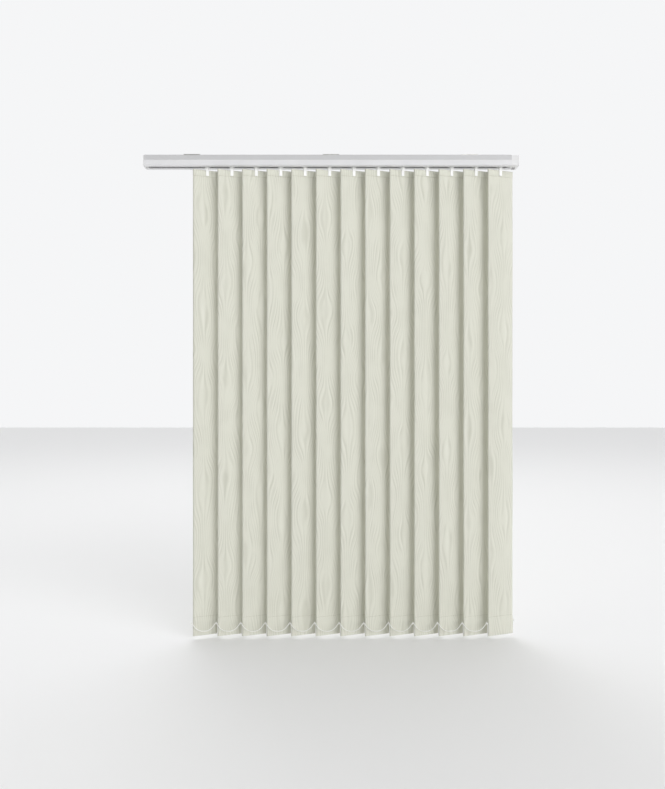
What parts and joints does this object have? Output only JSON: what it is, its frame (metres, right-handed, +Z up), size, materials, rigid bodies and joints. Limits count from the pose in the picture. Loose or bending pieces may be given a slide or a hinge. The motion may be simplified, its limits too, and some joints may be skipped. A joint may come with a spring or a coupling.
{
  "type": "vertical blind",
  "caption": "Vertical blind: fabric vanes on gliding carriers in a slim headrail, with bottom weights and stabilising chains.",
  "frame": {"origin": "middle of the ceiling face, on top of the middle bracket", "axes": "+X along the headrail to the right seen from the room, -Y to the room, +Z up"},
  "size_m": [1.16, 0.045, 1.491],
  "materials": {
    "rail": "satin white powder coat",
    "cap_plastic": "satin moulded",
    "bracket_steel": "zinc plated",
    "rod_aluminium": "extruded",
    "wheel_plastic": "moulded",
    "chain_plastic": "moulded",
    "carrier_plastic": "moulded",
    "stem_plastic": "moulded",
    "fabric": "wavy jacquard weave",
    "weight_plastic": "moulded"
  },
  "bodies": {
    "rail": {"headrail": "rail", "end_cap_left": "cap_plastic", "end_cap_right": "cap_plastic", "brackets": "bracket_steel", "carrier_13": "carrier_plastic"},
    "rod": {"tilt_rod": "rod_aluminium", "chain_wheel": "wheel_plastic"},
    "glider_01": {"carrier_01": "carrier_plastic"},
    "glider_02": {"carrier_02": "carrier_plastic"},
    "glider_03": {"carrier_03": "carrier_plastic"},
    "glider_04": {"carrier_04": "carrier_plastic"},
    "glider_05": {"carrier_05": "carrier_plastic"},
    "glider_06": {"carrier_06": "carrier_plastic"},
    "glider_07": {"carrier_07": "carrier_plastic"},
    "glider_08": {"carrier_08": "carrier_plastic"},
    "glider_09": {"carrier_09": "carrier_plastic"},
    "glider_10": {"carrier_10": "carrier_plastic"},
    "glider_11": {"carrier_11": "carrier_plastic"},
    "glider_12": {"carrier_12": "carrier_plastic"},
    "blade_01": {"stem_01": "stem_plastic", "vane_01": "fabric", "weight_01": "weight_plastic"},
    "blade_02": {"stem_02": "stem_plastic", "vane_02": "fabric", "weight_02": "weight_plastic"},
    "blade_03": {"stem_03": "stem_plastic", "vane_03": "fabric", "weight_03": "weight_plastic"},
    "blade_04": {"stem_04": "stem_plastic", "vane_04": "fabric", "weight_04": "weight_plastic"},
    "blade_05": {"stem_05": "stem_plastic", "vane_05": "fabric", "weight_05": "weight_plastic"},
    "blade_06": {"stem_06": "stem_plastic", "vane_06": "fabric", "weight_06": "weight_plastic"},
    "blade_07": {"stem_07": "stem_plastic", "vane_07": "fabric", "weight_07": "weight_plastic"},
    "blade_08": {"stem_08": "stem_plastic", "vane_08": "fabric", "weight_08": "weight_plastic"},
    "blade_09": {"stem_09": "stem_plastic", "vane_09": "fabric", "weight_09": "weight_plastic"},
    "blade_10": {"stem_10": "stem_plastic", "vane_10": "fabric", "weight_10": "weight_plastic"},
    "blade_11": {"stem_11": "stem_plastic", "vane_11": "fabric", "weight_11": "weight_plastic"},
    "blade_12": {"stem_12": "stem_plastic", "vane_12": "fabric", "weight_12": "weight_plastic"},
    "blade_13": {"stem_13": "stem_plastic", "vane_13": "fabric", "weight_13": "weight_plastic"},
    "front_chain": {"chain_front": "chain_plastic"},
    "back_chain": {"chain_back": "chain_plastic"}
  },
  "joints": [
    {"name": "draw", "type": "slide", "parent": "rail", "child": "glider_01", "axis": [1, 0, 0], "range_m": [0, 0.672], "deforming": ["chain_front", "chain_back"]},
    {"name": "draw_02", "type": "slide", "parent": "rail", "child": "glider_02", "axis": [1, 0, 0], "range_m": [0, 0.616]},
    {"name": "draw_03", "type": "slide", "parent": "rail", "child": "glider_03", "axis": [1, 0, 0], "range_m": [0, 0.56]},
    {"name": "draw_04", "type": "slide", "parent": "rail", "child": "glider_04", "axis": [1, 0, 0], "range_m": [0, 0.504]},
    {"name": "draw_05", "type": "slide", "parent": "rail", "child": "glider_05", "axis": [1, 0, 0], "range_m": [0, 0.448]},
    {"name": "draw_06", "type": "slide", "parent": "rail", "child": "glider_06", "axis": [1, 0, 0], "range_m": [0, 0.392]},
    {"name": "draw_07", "type": "slide", "parent": "rail", "child": "glider_07", "axis": [1, 0, 0], "range_m": [0, 0.336]},
    {"name": "draw_08", "type": "slide", "parent": "rail", "child": "glider_08", "axis": [1, 0, 0], "range_m": [0, 0.28]},
    {"name": "draw_09", "type": "slide", "parent": "rail", "child": "glider_09", "axis": [1, 0, 0], "range_m": [0, 0.224]},
    {"name": "draw_10", "type": "slide", "parent": "rail", "child": "glider_10", "axis": [1, 0, 0], "range_m": [0, 0.168]},
    {"name": "draw_11", "type": "slide", "parent": "rail", "child": "glider_11", "axis": [1, 0, 0], "range_m": [0, 0.112]},
    {"name": "draw_12", "type": "slide", "parent": "rail", "child": "glider_12", "axis": [1, 0, 0], "range_m": [0, 0.056]},
    {"name": "tilt", "type": "hinge", "parent": "glider_01", "child": "blade_01", "pos_m": [-0.385, 0, -0.043], "axis": [0, 0, 1], "range_deg": [-6, 146]},
    {"name": "tilt_02", "type": "hinge", "parent": "glider_02", "child": "blade_02", "pos_m": [-0.309, 0, -0.043], "axis": [0, 0, 1], "range_deg": [-6, 146]},
    {"name": "tilt_03", "type": "hinge", "parent": "glider_03", "child": "blade_03", "pos_m": [-0.233, 0, -0.043], "axis": [0, 0, 1], "range_deg": [-6, 146]},
    {"name": "tilt_04", "type": "hinge", "parent": "glider_04", "child": "blade_04", "pos_m": [-0.157, 0, -0.043], "axis": [0, 0, 1], "range_deg": [-6, 146]},
    {"name": "tilt_05", "type": "hinge", "parent": "glider_05", "child": "blade_05", "pos_m": [-0.081, 0, -0.043], "axis": [0, 0, 1], "range_deg": [-6, 146]},
    {"name": "tilt_06", "type": "hinge", "parent": "glider_06", "child": "blade_06", "pos_m": [-0.005, 0, -0.043], "axis": [0, 0, 1], "range_deg": [-6, 146]},
    {"name": "tilt_07", "type": "hinge", "parent": "glider_07", "child": "blade_07", "pos_m": [0.071, 0, -0.043], "axis": [0, 0, 1], "range_deg": [-6, 146]},
    {"name": "tilt_08", "type": "hinge", "parent": "glider_08", "child": "blade_08", "pos_m": [0.147, 0, -0.043], "axis": [0, 0, 1], "range_deg": [-6, 146]},
    {"name": "tilt_09", "type": "hinge", "parent": "glider_09", "child": "blade_09", "pos_m": [0.223, 0, -0.043], "axis": [0, 0, 1], "range_deg": [-6, 146]},
    {"name": "tilt_10", "type": "hinge", "parent": "glider_10", "child": "blade_10", "pos_m": [0.299, 0, -0.043], "axis": [0, 0, 1], "range_deg": [-6, 146]},
    {"name": "tilt_11", "type": "hinge", "parent": "glider_11", "child": "blade_11", "pos_m": [0.375, 0, -0.043], "axis": [0, 0, 1], "range_deg": [-6, 146]},
    {"name": "tilt_12", "type": "hinge", "parent": "glider_12", "child": "blade_12", "pos_m": [0.451, 0, -0.043], "axis": [0, 0, 1], "range_deg": [-6, 146]},
    {"name": "tilt_13", "type": "hinge", "parent": "rail", "child": "blade_13", "pos_m": [0.527, 0, -0.043], "axis": [0, 0, 1], "range_deg": [-6, 146]},
    {"name": "rod_turn", "type": "hinge", "parent": "rail", "child": "rod", "pos_m": [0, 0.01, -0.0205], "axis": [1, 0, 0], "range_deg": [-24, 584]},
    {"name": "front_chain_swivel", "type": "hinge", "parent": "blade_13", "child": "front_chain", "pos_m": [0.48096, -0.01676, -1.447], "axis": [0, 0, 1], "range_deg": [-146, 6]},
    {"name": "back_chain_swivel", "type": "hinge", "parent": "blade_13", "child": "back_chain", "pos_m": [0.57305, 0.01676, -1.447], "axis": [0, 0, 1], "range_deg": [-146, 6]}
  ],
  "couplings": [
    {"joint": "draw_02", "follows": "draw", "ratio": 0.91667},
    {"joint": "draw_03", "follows": "draw", "ratio": 0.83333},
    {"joint": "draw_04", "follows": "draw", "ratio": 0.75},
    {"joint": "draw_05", "follows": "draw", "ratio": 0.66667},
    {"joint": "draw_06", "follows": "draw", "ratio": 0.58333},
    {"joint": "draw_07", "follows": "draw", "ratio": 0.5},
    {"joint": "draw_08", "follows": "draw", "ratio": 0.41667},
    {"joint": "draw_09", "follows": "draw", "ratio": 0.33333},
    {"joint": "draw_10", "follows": "draw", "ratio": 0.25},
    {"joint": "draw_11", "follows": "draw", "ratio": 0.16667},
    {"joint": "draw_12", "follows": "draw", "ratio": 0.083333},
    {"joint": "tilt_02", "follows": "tilt", "ratio": 1},
    {"joint": "tilt_03", "follows": "tilt", "ratio": 1},
    {"joint": "tilt_04", "follows": "tilt", "ratio": 1},
    {"joint": "tilt_05", "follows": "tilt", "ratio": 1},
    {"joint": "tilt_06", "follows": "tilt", "ratio": 1},
    {"joint": "tilt_07", "follows": "tilt", "ratio": 1},
    {"joint": "tilt_08", "follows": "tilt", "ratio": 1},
    {"joint": "tilt_09", "follows": "tilt", "ratio": 1},
    {"joint": "tilt_10", "follows": "tilt", "ratio": 1},
    {"joint": "tilt_11", "follows": "tilt", "ratio": 1},
    {"joint": "tilt_12", "follows": "tilt", "ratio": 1},
    {"joint": "tilt_13", "follows": "tilt", "ratio": 1},
    {"joint": "rod_turn", "follows": "tilt", "ratio": 4},
    {"joint": "front_chain_swivel", "follows": "tilt", "ratio": -1},
    {"joint": "back_chain_swivel", "follows": "tilt", "ratio": -1}
  ]
}
